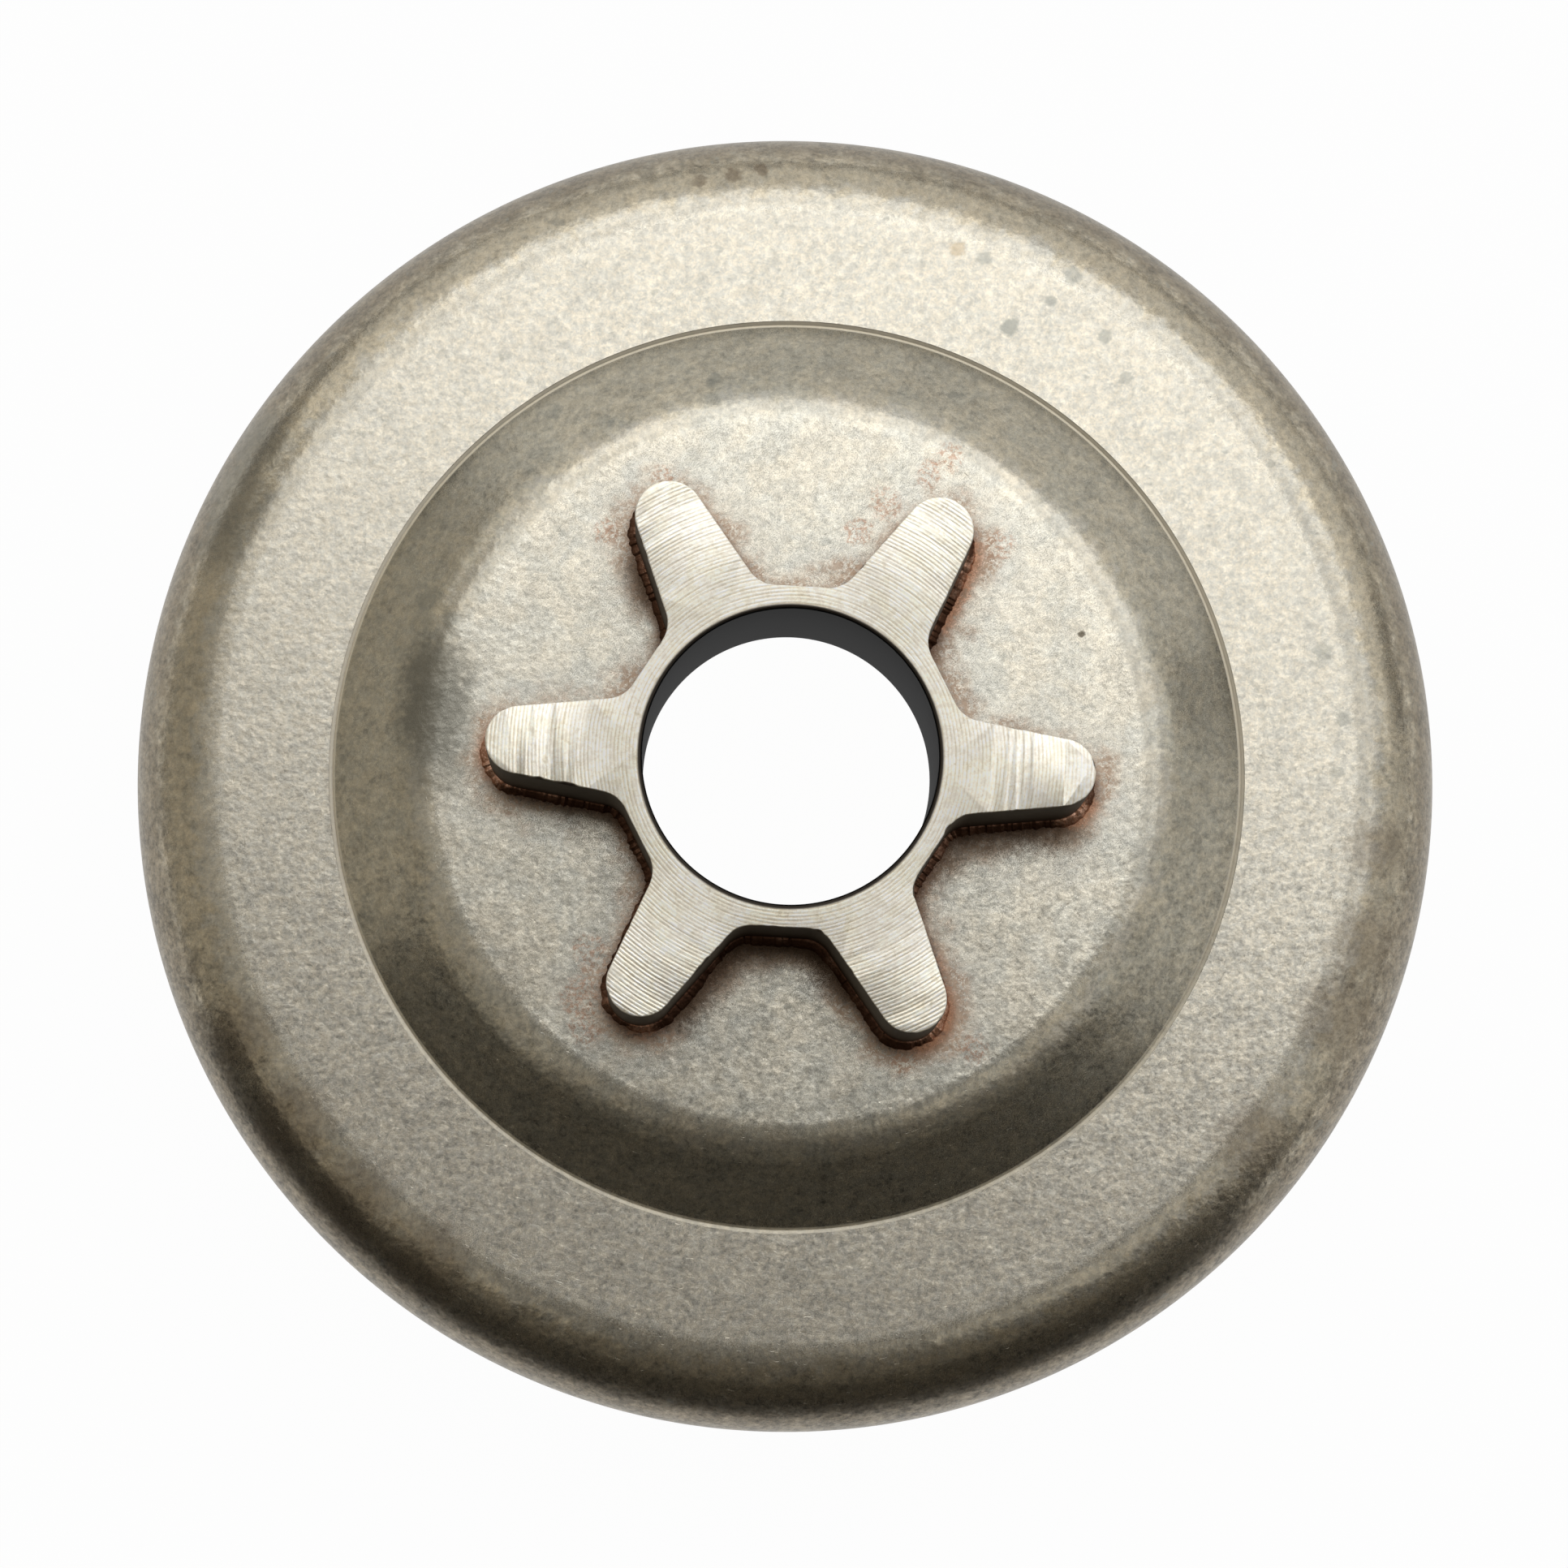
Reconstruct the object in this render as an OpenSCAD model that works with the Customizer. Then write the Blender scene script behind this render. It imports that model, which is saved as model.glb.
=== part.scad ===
// Clutch drum with its spur sprocket: a pressed steel cup with a raised centre,
// a toothed sprocket on a plain hub, and the line of braze that joins the two.
// The rim of the cup lies on z = 0 and the axis of the bore is Z.

/* [Drum] */
// Outer diameter of the drum
drum_d = 68; // [60:0.5:80]
// Thickness of the pressed sheet
sheet_t = 2; // [1.5:0.1:2.5]
// Height from the rim to the flat ring
drum_depth = 20; // [16:0.5:26]
// Outer radius of the drum's rounded corner
corner_r = 4.6; // [3.5:0.1:6]
// Chamfer on both edges of the rim
rim_chamfer = 0.3; // [0.1:0.05:0.6]

/* [Raised centre] */
// Diameter at which the cone rises from the flat ring
foot_d = 47; // [45:0.5:50]
// Slope of the cone, in degrees
cone_slope = 35; // [30:1:45]
// Height of the centre above the flat ring
centre_rise = 2.9; // [2:0.1:3.5]
// Outer radius of the bend between cone and centre
shoulder_r = 4; // [3:0.1:5]
// Inner radius of the bend at the cone's foot
foot_bend_r = 2.4; // [1:0.1:4]
// Width of the press tool's groove round the foot
mark_w = 0.3; // [0.1:0.05:0.6]
// Depth of that groove
mark_depth = 0.1; // [0.05:0.01:0.2]

/* [Sprocket] */
// Number of teeth
tooth_count = 6; // [5:1:7]
// Turn of the first tooth from +X, in degrees
sprocket_turn = -3.4; // [-30:0.1:30]
// Diameter over the tooth tips
tip_d = 30.9; // [29:0.1:32.5]
// Radius of a tooth's round tip
tip_round = 1.75; // [1.4:0.05:2]
// Lean of a tooth's flank to its middle line, in degrees
flank_lean = 8; // [4:0.5:11]
// Radius in the corner between flank and root
root_round = 1.6; // [1:0.1:2]
// Metal between the bore and the flat of the root
root_wall = 1.16; // [1.15:0.01:1.6]
// Height of the teeth above the drum
tooth_h = 8.65; // [6:0.05:12]

/* [Hub] */
// Diameter of the bearing bore
bore_d = 15; // [13:0.1:16]
// Chamfer at both ends of the bore
bore_chamfer = 0.14; // [0.05:0.01:0.4]
// Wall of the hub that passes through the drum
hub_wall = 1; // [0.8:0.05:1.05]
// Length of the hub below the drum's top face
hub_below = 6; // [4:0.1:8]
// Chamfer on the hub's lower edge
hub_chamfer = 0.3; // [0.1:0.05:0.5]
// Gap between the hub and the drum's hole, on the radius
joint_gap = 0.04; // [0.02:0.01:0.06]

/* [Braze] */
// Width of the braze beside the teeth
braze_w = 0.5; // [0.2:0.05:0.8]
// Height of the braze up the teeth
braze_h = 0.45; // [0.2:0.05:0.8]
// Thickness of the braze where it ends on the teeth
braze_edge = 0.05; // [0.03:0.01:0.1]
// Extra width of the braze round the tips
braze_tip_extra = 0.06; // [0.04:0.01:0.2]

/* [Hidden] */
$fn = 120;
// Length by which a cutter runs past the face it opens
past = 1;
// Depth by which a round cuts into the straight face that it runs out on
bite = 0.005;
// Heights of the centre's top face, the sprocket's face and the hub's end
centre_z = drum_depth + centre_rise;
sprocket_z = centre_z + tooth_h;
hub_z = centre_z - hub_below;
// Radii of the drum and its parts
drum_r = drum_d / 2;
foot_r = foot_d / 2;
bore_r = bore_d / 2;
hub_r = bore_r + hub_wall;
// Middle of the bend between cone and centre, in the half section
shoulder_x = foot_r - centre_rise / tan(cone_slope) - shoulder_r * tan(cone_slope / 2);
shoulder_z = centre_z - shoulder_r;
// Middle of the bend at the cone's foot, which lies in the sheet
foot_bend_x = foot_r + (foot_bend_r - sheet_t) * tan(cone_slope / 2);
foot_bend_z = drum_depth - sheet_t + foot_bend_r;
// Angles between teeth
pitch_turn = 360 / tooth_count;
half_turn = pitch_turn / 2;
// Angle of the round between a flank and the root flat
round_turn = 90 - flank_lean - half_turn;
// Distances from the axis to the tip circle's middle, the root flat and the flank's line
tip_at = tip_d / 2 - tip_round;
root_at = bore_r + root_wall;
flank_at = tip_round - bite + tip_at * sin(flank_lean);
// Directions square to a flank and to the root flat beside it, seen along a tooth on +X
flank_normal = [sin(flank_lean), cos(flank_lean)];
root_normal = [cos(half_turn), sin(half_turn)];
// Middle of the round between flank and root flat
round_middle = crossing(flank_at + root_round, root_at + root_round);

// Point at the given distances from the axis, square to the flank and to the root flat
function crossing(from_flank, from_root) =
    [from_root * cos(flank_lean) - from_flank * sin(half_turn),
     from_flank * cos(half_turn) - from_root * sin(flank_lean)] / cos(flank_lean + half_turn);
// Where flank and root flat would meet
root_corner = crossing(flank_at, root_at);

// Half section of all that lies more than the inset below the drum's outer skin
module skin_form(inset) {
    bend = shoulder_r - inset;
    square([drum_r - inset, drum_depth - corner_r]);
    square([drum_r - corner_r, drum_depth - inset]);
    translate([drum_r - corner_r, drum_depth - corner_r]) circle(corner_r - inset);
    polygon([
        [0, 0],
        [foot_r - inset * tan(cone_slope / 2), 0],
        [foot_r - inset * tan(cone_slope / 2), drum_depth - inset],
        [shoulder_x + bend * sin(cone_slope), shoulder_z + bend * cos(cone_slope)],
        [shoulder_x, shoulder_z + bend],
        [0, shoulder_z + bend]
    ]);
    translate([shoulder_x, shoulder_z]) circle(bend);
}

// Half section of what rounds the sheet's inner edge at the cone's foot
module foot_bend() {
    difference() {
        polygon([
            [foot_r - sheet_t * tan(cone_slope / 2), drum_depth - sheet_t],
            [foot_bend_x, drum_depth - sheet_t],
            [foot_bend_x - foot_bend_r * sin(cone_slope),
             foot_bend_z - foot_bend_r * cos(cone_slope)]
        ]);
        translate([foot_bend_x, foot_bend_z]) circle(foot_bend_r);
    }
}

// Half section of the groove that the press tool left round the cone's foot
module tool_mark() {
    polygon([
        [foot_r, drum_depth + past],
        [foot_r, drum_depth],
        [foot_r + mark_w / 3, drum_depth - mark_depth],
        [foot_r + mark_w, drum_depth],
        [foot_r + mark_w, drum_depth + past]
    ]);
}

// Half sections of the chamfers on the rim's outer and inner edge
module rim_edges() {
    polygon([
        [drum_r - rim_chamfer, 0],
        [drum_r + past, -past - rim_chamfer],
        [drum_r + past, rim_chamfer + past]
    ]);
    polygon([
        [drum_r - sheet_t + rim_chamfer, 0],
        [drum_r - sheet_t - past, -past - rim_chamfer],
        [drum_r - sheet_t - past, rim_chamfer + past]
    ]);
}

module drum_cup() {
    color("#b8b2a2")
    rotate_extrude()
    difference() {
        skin_form(0);
        skin_form(sheet_t);
        foot_bend();
        tool_mark();
        rim_edges();
        square([hub_r + joint_gap, centre_z + past]);
    }
}

// Metal in the corner between a flank and the root flat, to the left of a tooth on +X
module root_fill() {
    difference() {
        polygon([
            root_corner - [root_round, 0],
            round_middle - root_round * flank_normal,
            round_middle - root_round * root_normal
        ]);
        translate(round_middle) circle(root_round + bite);
    }
}

// One tooth on +X, from the axis to its tip
module tooth() {
    axis_half = flank_at / cos(flank_lean);
    tip_end = [tip_at, 0] + (tip_round - bite) * flank_normal;
    polygon([[0, -axis_half], [tip_end.x, -tip_end.y], tip_end, [0, axis_half]]);
    translate([tip_at, 0]) circle(tip_round);
    root_fill();
    mirror([0, 1]) root_fill();
}

// Outline of the sprocket
module sprocket_outline() {
    circle(root_at / cos(half_turn), $fn = tooth_count);
    for (i = [0 : tooth_count - 1])
        rotate(i * pitch_turn) tooth();
}

// The bore with its two chamfers
module bearing_bore() {
    rotate_extrude()
    polygon([
        [0, hub_z - past],
        [bore_r + bore_chamfer + past, hub_z - past],
        [bore_r, hub_z + bore_chamfer],
        [bore_r, sprocket_z - bore_chamfer],
        [bore_r + bore_chamfer + past, sprocket_z + past],
        [0, sprocket_z + past]
    ]);
}

module hub() {
    translate([0, 0, hub_z]) cylinder(h = hub_chamfer, r1 = hub_r - hub_chamfer, r2 = hub_r);
    translate([0, 0, hub_z + hub_chamfer]) cylinder(h = hub_below + tooth_h / 2, r = hub_r);
}

module sprocket() {
    color("#d3ccbe")
    rotate(sprocket_turn)
    difference() {
        union() {
            translate([0, 0, centre_z]) linear_extrude(tooth_h) sprocket_outline();
            hub();
        }
        bearing_bore();
    }
}

// Straight length of braze, its middle on +Y and its wall at the given distance from the axis
module braze_run(wall_at, half_length) {
    translate([-half_length, wall_at])
    rotate([90, 0, 90])
    linear_extrude(2 * half_length)
    polygon([[-braze_w, 0], [braze_w, 0], [braze_edge, braze_h], [-braze_w, braze_h]]);
}

// Braze along the flank and in the corner to the left of a tooth on +X
module braze_side() {
    run_start = root_corner * [cos(flank_lean), -sin(flank_lean)];
    run_end = tip_at * cos(flank_lean);
    rotate(-flank_lean)
    translate([(run_start + run_end) / 2, 0])
    braze_run(flank_at, (run_end - run_start) / 2);
    translate(round_middle)
    rotate(-flank_lean - round_turn / 2)
    braze_run(-root_round, root_round * tan(round_turn / 4) + braze_w);
}

// Braze round one tooth on +X and along the root flat to its left
module braze_bead() {
    tip_edge = tip_round + braze_tip_extra;
    translate([tip_at, 0]) cylinder(h = braze_h, r1 = tip_edge + braze_w, r2 = tip_edge + braze_edge);
    braze_side();
    mirror([0, 1]) braze_side();
    rotate(half_turn - 90) braze_run(root_at, root_corner * [sin(half_turn), -cos(half_turn)]);
}

// Braze in the corner between teeth and drum
module braze_fillet() {
    color("#a8664a")
    translate([0, 0, centre_z])
    rotate(sprocket_turn)
    difference() {
        for (i = [0 : tooth_count - 1])
            rotate(i * pitch_turn) braze_bead();
        translate([0, 0, -past]) linear_extrude(braze_h + 2 * past) sprocket_outline();
    }
}

drum_cup();
sprocket();
braze_fillet();
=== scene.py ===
# %% [markdown]
# # A clutch drum with its chain sprocket
#
# The object is a small spare part of a garden machine. A cup is pressed from 2 mm steel sheet, its
# middle is raised over a cone, and a sprocket with six teeth is brazed onto the raised middle. The
# pieces come out of the press, the lathe and the furnace bare, so everything that the eye reads is
# steel: how it is tumbled, turned or stained, and what it mirrors.
#
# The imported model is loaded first. It fixes the size and the place of everything that follows, so
# no number below has to be fitted to it by hand.

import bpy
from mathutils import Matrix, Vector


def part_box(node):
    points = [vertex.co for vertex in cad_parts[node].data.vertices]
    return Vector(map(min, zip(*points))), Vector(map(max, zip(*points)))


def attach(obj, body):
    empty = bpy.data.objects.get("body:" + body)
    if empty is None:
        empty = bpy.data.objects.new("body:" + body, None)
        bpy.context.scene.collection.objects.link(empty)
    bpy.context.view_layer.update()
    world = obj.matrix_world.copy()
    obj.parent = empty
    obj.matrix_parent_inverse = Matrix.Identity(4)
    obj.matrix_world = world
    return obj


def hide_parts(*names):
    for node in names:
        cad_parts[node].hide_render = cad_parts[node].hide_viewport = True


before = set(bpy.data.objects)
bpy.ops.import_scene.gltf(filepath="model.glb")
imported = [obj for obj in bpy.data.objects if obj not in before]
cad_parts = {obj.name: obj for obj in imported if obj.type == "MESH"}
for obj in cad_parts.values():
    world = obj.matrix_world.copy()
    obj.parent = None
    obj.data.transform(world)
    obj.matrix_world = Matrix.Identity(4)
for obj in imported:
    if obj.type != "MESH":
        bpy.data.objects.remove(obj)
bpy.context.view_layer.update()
print("CAD nodes:", sorted(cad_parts))

# %% [markdown]
# ## Sizes
#
# The outer diameter, the heights and the line where the braze begins can be read from the boxes of
# the CAD nodes. The rest are the sizes that a drawing of the part would give. They are written in
# millimetres, because that is how such a part is drawn, and the finished meshes are scaled to
# metres in one place.

# %% Read the main sizes from the frame
from math import atan2, cos, degrees, hypot, pi, radians, sin, tan

MM = 0.001
drum_low, drum_high = (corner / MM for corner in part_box("drum_cup"))
sprocket_low, sprocket_high = (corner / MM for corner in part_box("sprocket"))
braze_low, braze_high = (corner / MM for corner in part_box("braze_fillet"))
drum_r = drum_high.x
centre_z = drum_high.z
sprocket_z = sprocket_high.z
hub_z = sprocket_low.z
print(f"drum {2 * drum_r:.1f} mm across, {centre_z:.1f} mm high; sprocket ends at {sprocket_z:.2f} mm")

# %% Sizes of the pressed cup
sheet = 2.0
flat_z = 20.0
corner_r = 4.6
rim_round = 0.3
foot_r = 23.5
cone_slope = radians(35)
shoulder_r = 4.0
foot_bend_r = 2.4
mark_w = 0.3
mark_depth = 0.1
cup_hole_r = 8.54

# %% Sizes of the sprocket
tooth_count = 6
sprocket_turn = radians(-3.4)
pitch_turn = 2 * pi / tooth_count
half_turn = pitch_turn / 2
tip_round = 1.75
tip_at = 13.7
flank_lean = radians(8)
root_at = 8.66
root_round = 1.6
bore_r = 7.5
bore_edge = 0.14
hub_r = 8.5
hub_edge = 0.3

# %% [markdown]
# ## A pencil that draws with mesh operators
#
# Both the cup and the sprocket are drawn as one line first. The line could be typed in as a list of
# points, but then every round would be a guess. Here a vertex is the pencil: `extrude` pulls it
# along a straight stretch, and `spin` carries it round an arc about a real centre, so every radius
# in the line is the radius on the drawing.

# %% Helpers that draw a line in a bmesh
import bmesh
import bpy
from mathutils import Matrix, Vector, noise


def go_straight(bm, line, place, steps=1):
    """Pulls the line's last vertex to the place in equal steps."""
    start = line[-1].co.copy()
    for step in range(1, steps + 1):
        pulled = bmesh.ops.extrude_vert_indiv(bm, verts=[line[-1]])["verts"][0]
        pulled.co = start.lerp(Vector(place), step / steps)
        line.append(pulled)


def go_round(bm, line, centre, axis, angle, steps):
    """Carries the line's last vertex round the centre."""
    for _ in range(steps):
        turned = bmesh.ops.spin(
            bm, geom=[line[-1]], cent=centre, axis=axis, angle=angle / steps, steps=1
        )
        line.append(next(g for g in turned["geom_last"] if isinstance(g, bmesh.types.BMVert)))


def close_line(bm, line):
    """Joins the line's last vertex to its first."""
    bm.edges.new((line[-1], line[0]))


# %% Helper that turns a finished bmesh into a piece
SHARP = radians(18)


def make_piece(name, bm, replaced_node):
    """Scales the mesh to metres, cleans it and puts it in the place of the CAD node."""
    bmesh.ops.remove_doubles(bm, verts=bm.verts, dist=1e-5)
    bmesh.ops.recalc_face_normals(bm, faces=bm.faces)
    bmesh.ops.scale(bm, vec=(MM, MM, MM), verts=bm.verts)
    mesh = bpy.data.meshes.new(name)
    bm.to_mesh(mesh)
    bm.free()
    mesh.shade_smooth()
    mesh.set_sharp_from_angle(angle=SHARP)
    piece = bpy.data.objects.new(name, mesh)
    bpy.context.scene.collection.objects.link(piece)
    flats = piece.modifiers.new("flats_stay_flat", "WEIGHTED_NORMAL")
    flats.keep_sharp = True
    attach(piece, "root")
    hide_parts(replaced_node)
    print(f"{name}: {len(mesh.polygons)} faces")
    return piece


# %% [markdown]
# ## The pressed cup
#
# A press draws the cup from one blank, so every wall is the same 2 mm thick and every bend has an
# outer and an inner radius with one common centre. That is why the whole cup is one section, drawn
# once round its outline and spun about the bore's axis. A boolean or a solidified surface would
# give the same outline, but not the clean rings of faces that the light runs along. Where the cone
# leaves the flat ring, the press tool has left a fine groove.

# %% Draw the section of the cup
SECTION_AXIS = (0, -1, 0)
cup_mesh = bmesh.new()
section = [cup_mesh.verts.new((drum_r - rim_round, 0, 0))]
corner_centre = (drum_r - corner_r, 0, flat_z - corner_r)
cone_run = (centre_z - flat_z) / tan(cone_slope)
shoulder_centre = Vector((foot_r - cone_run - shoulder_r * tan(cone_slope / 2), 0, centre_z - shoulder_r))
cone_normal = Vector((sin(cone_slope), 0, cos(cone_slope)))
foot_bend_centre = Vector((
    foot_r + (foot_bend_r - sheet) * tan(cone_slope / 2), 0, flat_z - sheet + foot_bend_r
))
quarter = pi / 2

go_round(cup_mesh, section, (drum_r - rim_round, 0, rim_round), SECTION_AXIS, quarter, 6)
go_straight(cup_mesh, section, (drum_r, 0, corner_centre[2]), 8)
go_round(cup_mesh, section, corner_centre, SECTION_AXIS, quarter, 28)
go_straight(cup_mesh, section, (foot_r + mark_w, 0, flat_z), 6)
go_straight(cup_mesh, section, (foot_r + mark_w / 3, 0, flat_z - mark_depth))
go_straight(cup_mesh, section, (foot_r, 0, flat_z))
go_straight(cup_mesh, section, shoulder_centre + shoulder_r * cone_normal, 4)
go_round(cup_mesh, section, shoulder_centre, SECTION_AXIS, cone_slope, 12)
go_straight(cup_mesh, section, (cup_hole_r, 0, centre_z), 8)
print("outer skin:", len(section), "points")

# %% Draw the inner skin back to the rim
go_straight(cup_mesh, section, (cup_hole_r, 0, centre_z - sheet), 2)
go_straight(cup_mesh, section, (shoulder_centre.x, 0, centre_z - sheet), 6)
go_round(cup_mesh, section, shoulder_centre, SECTION_AXIS, -cone_slope, 8)
go_straight(cup_mesh, section, foot_bend_centre - foot_bend_r * cone_normal, 3)
go_round(cup_mesh, section, foot_bend_centre, SECTION_AXIS, cone_slope, 8)
go_straight(cup_mesh, section, (corner_centre[0], 0, flat_z - sheet), 4)
go_round(cup_mesh, section, corner_centre, SECTION_AXIS, -quarter, 16)
go_straight(cup_mesh, section, (drum_r - sheet, 0, rim_round), 8)
go_round(cup_mesh, section, (drum_r - sheet + rim_round, 0, rim_round), SECTION_AXIS, quarter, 6)
close_line(cup_mesh, section)
print("whole section:", len(section), "points")

# %% Spin the section about the bore's axis
bmesh.ops.spin(
    cup_mesh, geom=cup_mesh.verts[:] + cup_mesh.edges[:], cent=(0, 0, 0), axis=(0, 0, 1),
    angle=2 * pi, steps=360, use_merge=True
)
cup = make_piece("pressed_cup", cup_mesh, "drum_cup")

# %% [markdown]
# ## The sprocket
#
# The teeth are cut so that each flank is straight, leans to the tooth's middle line and runs into a
# round tip and a round root. One tooth is drawn with the pencil, and a loop turns the next ones
# into place. The line then becomes the block: extruding the closed line down gives the flanks, and
# the same ring of vertices, drawn in to a circle, gives the hub and the bore. So the mesh is rings
# of quads all the way round, with no boolean. Only the turned face is filled with triangles, which
# don't show, because it is flat.

# %% Points that the tooth line runs through
flank_normal = Vector((sin(flank_lean), cos(flank_lean), 0))
root_normal = Vector((cos(half_turn), sin(half_turn), 0))
flank_at = tip_round + tip_at * sin(flank_lean)


def crossing(from_flank, from_root):
    """The point with these distances from the axis, square to the flank and to the root flat."""
    x = from_root * cos(flank_lean) - from_flank * sin(half_turn)
    y = from_flank * cos(half_turn) - from_root * sin(flank_lean)
    return Vector((x, y, 0)) / cos(flank_lean + half_turn)


round_middle = crossing(flank_at + root_round, root_at + root_round)
round_turn = quarter - flank_lean - half_turn
tip_middle = Vector((tip_at, 0, 0))
print(f"root round: middle at {round_middle.x:.2f}, {round_middle.y:.2f}, {degrees(round_turn):.0f} degrees")

# %% Draw the closed line of all the teeth
LINE_STEP = 0.09


def steps_along(length):
    return max(2, round(length / LINE_STEP))


def draw_teeth(bm, height):
    """Draws the sprocket's outline against the clock and returns its vertices in order."""
    line = []
    lift = Vector((0, 0, height))
    root_middle = root_at * root_normal
    root_end = round_middle - root_round * root_normal
    flank_end = round_middle - root_round * flank_normal
    tip_end = tip_middle + tip_round * flank_normal
    tip_turn = pi - 2 * flank_lean
    for tooth in range(tooth_count):
        turn = Matrix.Rotation(sprocket_turn + tooth * pitch_turn, 3, "Z")

        def on_side(point, side):
            return turn @ Vector((point.x, side * point.y, 0)) + lift

        flat_steps = steps_along((root_middle - root_end).length)
        flank_steps = steps_along((flank_end - tip_end).length)
        round_steps = steps_along(root_round * round_turn)
        if not line:
            line.append(bm.verts.new(on_side(root_middle, -1)))
        go_straight(bm, line, on_side(root_end, -1), flat_steps)
        go_round(bm, line, on_side(round_middle, -1), (0, 0, 1), -round_turn, round_steps)
        go_straight(bm, line, on_side(tip_end, -1), flank_steps)
        go_round(bm, line, on_side(tip_middle, 1), (0, 0, 1), tip_turn, steps_along(tip_round * tip_turn))
        go_straight(bm, line, on_side(flank_end, 1), flank_steps)
        go_round(bm, line, on_side(round_middle, 1), (0, 0, 1), -round_turn, round_steps)
        go_straight(bm, line, on_side(root_middle, 1), flat_steps)
    bmesh.ops.delete(bm, geom=[line.pop()], context="VERTS")
    close_line(bm, line)
    return line


def outward(line):
    """For each vertex of a closed line drawn against the clock, the direction out of it."""
    directions = []
    for number, vertex in enumerate(line):
        along = line[(number + 1) % len(line)].co - line[number - 1].co
        directions.append(Vector((along.y, -along.x, 0)).normalized())
    return directions


# %% Rules that turn one ring of vertices into the next
def next_ring(bm, ring, place):
    """Extrudes a closed ring of vertices, and puts each new one where place(point, number) says."""
    edges = [bm.edges.get((ring[i - 1], ring[i])) for i in range(len(ring))]
    made = bmesh.ops.extrude_edge_only(bm, edges=edges)["geom"]
    new = {g for g in made if isinstance(g, bmesh.types.BMVert)}
    copies = [next(e.other_vert(v) for e in v.link_edges if e.other_vert(v) in new) for v in ring]
    points = [vertex.co.copy() for vertex in ring]
    for number, copy in enumerate(copies):
        copy.co = place(points[number], number)
    return copies


def on_circle(radius, height):
    """A rule that draws the ring in to a circle, each vertex along its own spoke."""
    return lambda point, number: radius * spokes[number] + Vector((0, 0, height))


def at_height(height):
    """A rule that moves the ring straight up or down."""
    return lambda point, number: Vector((point.x, point.y, height))


# %% [markdown]
# The face was turned after the teeth were cut, and the tool has torn the edge where it ran off a
# tooth. The outline of the face therefore isn't clean: it wanders by a few hundredths of a
# millimetre and has small chips. The chips only take metal away, so the size over the tips holds.

# %% Rule for the torn edge of the turned face
CHIP_DEPTH = 0.09
WANDER = 0.03
TRAILING = Vector((0.45, -0.9, 0)).normalized()


def torn_in(point, facing):
    """How far the edge of the turned face is torn in at a point that faces outward that way."""
    slow = noise.noise(Vector((point.x, point.y, 3.0)) * 0.9)
    quick = noise.noise(Vector((point.x, point.y, 7.0)) * 2.6)
    chip = max(0.0, noise.noise(Vector((point.x, point.y, 11.0)) * 1.7) - 0.28) / 0.4
    trailing = 0.35 + 0.65 * max(0.0, facing.dot(TRAILING))
    return trailing * (WANDER * (1.0 + 0.6 * slow + 0.8 * quick) + CHIP_DEPTH * min(1.0, chip))


# %% Build the flanks, the hub and the bore
block = bmesh.new()
tooth_line = draw_teeth(block, centre_z)
side_out = outward(tooth_line)
spokes = [Vector((vertex.co.x, vertex.co.y, 0)).normalized() for vertex in tooth_line]

ring = next_ring(block, tooth_line, on_circle(hub_r, centre_z))
ring = next_ring(block, ring, on_circle(hub_r, hub_z + hub_edge))
ring = next_ring(block, ring, on_circle(hub_r - hub_edge, hub_z))
ring = next_ring(block, ring, on_circle(bore_r + bore_edge, hub_z))
ring = next_ring(block, ring, on_circle(bore_r, hub_z + bore_edge))
for share in (0.25, 0.5, 0.75):
    ring = next_ring(block, ring, on_circle(bore_r, hub_z + share * (sprocket_z - hub_z)))
ring = next_ring(block, ring, on_circle(bore_r, sprocket_z - bore_edge))
bore_ring = next_ring(block, ring, on_circle(bore_r + bore_edge, sprocket_z))
print("tooth line:", len(tooth_line), "points")

# %% Draw the torn edge in to the face and close the face on the bore
EDGE_ROUND = 0.05


def torn_edge(below, further_in):
    """A rule that lifts the ring near the face and pulls it in by the tearing and a bit more."""
    def place(point, number):
        start = tooth_line[number].co
        pulled = start - (torn_in(start, side_out[number]) + further_in) * side_out[number]
        return Vector((pulled.x, pulled.y, sprocket_z - below))
    return place


ring = next_ring(block, tooth_line, at_height(sprocket_z - 0.6))
ring = next_ring(block, ring, at_height(sprocket_z - 0.25))
for step in range(7):
    turned = step / 6 * quarter
    down = EDGE_ROUND * (1 - sin(turned))
    across = EDGE_ROUND * (1 - cos(turned))
    ring = next_ring(block, ring, torn_edge(down, across))
face_edges = [block.edges.get((r[i - 1], r[i])) for r in (bore_ring, ring) for i in range(len(r))]
bmesh.ops.triangle_fill(block, use_beauty=True, edges=face_edges)
sprocket = make_piece("sprocket_body", block, "sprocket")

# %% [markdown]
# ## The braze
#
# The braze ran round the teeth as a liquid and froze there, so no two places of it have the same
# width or height. It is drawn from the same tooth line as the block. Each ring steps out over the
# drum and down to it, and a slow and a quick noise along the line set how far, with fine ribs
# square to the teeth where the metal was drawn out.

# %% Build the braze round the foot of the teeth
BRAZE_W = 0.5
BRAZE_H = braze_high.z - centre_z - 0.01
HIDDEN = 0.02

braze_mesh = bmesh.new()
braze_line = draw_teeth(braze_mesh, centre_z)
braze_out = outward(braze_line)


def run_out(point):
    """Share of its full width that the braze has at a point."""
    slow = noise.noise(Vector((point.x, point.y, 1.0)) * 0.35)
    quick = noise.noise(Vector((point.x, point.y, 5.0)) * 1.3)
    rib = noise.noise(Vector((point.x, point.y, 9.0)) * 5.5)
    return min(1.0, max(0.4, 0.84 + 0.35 * slow + 0.16 * quick + 0.2 * rib))


braze_share = [run_out(vertex.co) for vertex in braze_line]
braze_start = [vertex.co.copy() for vertex in braze_line]


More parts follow.
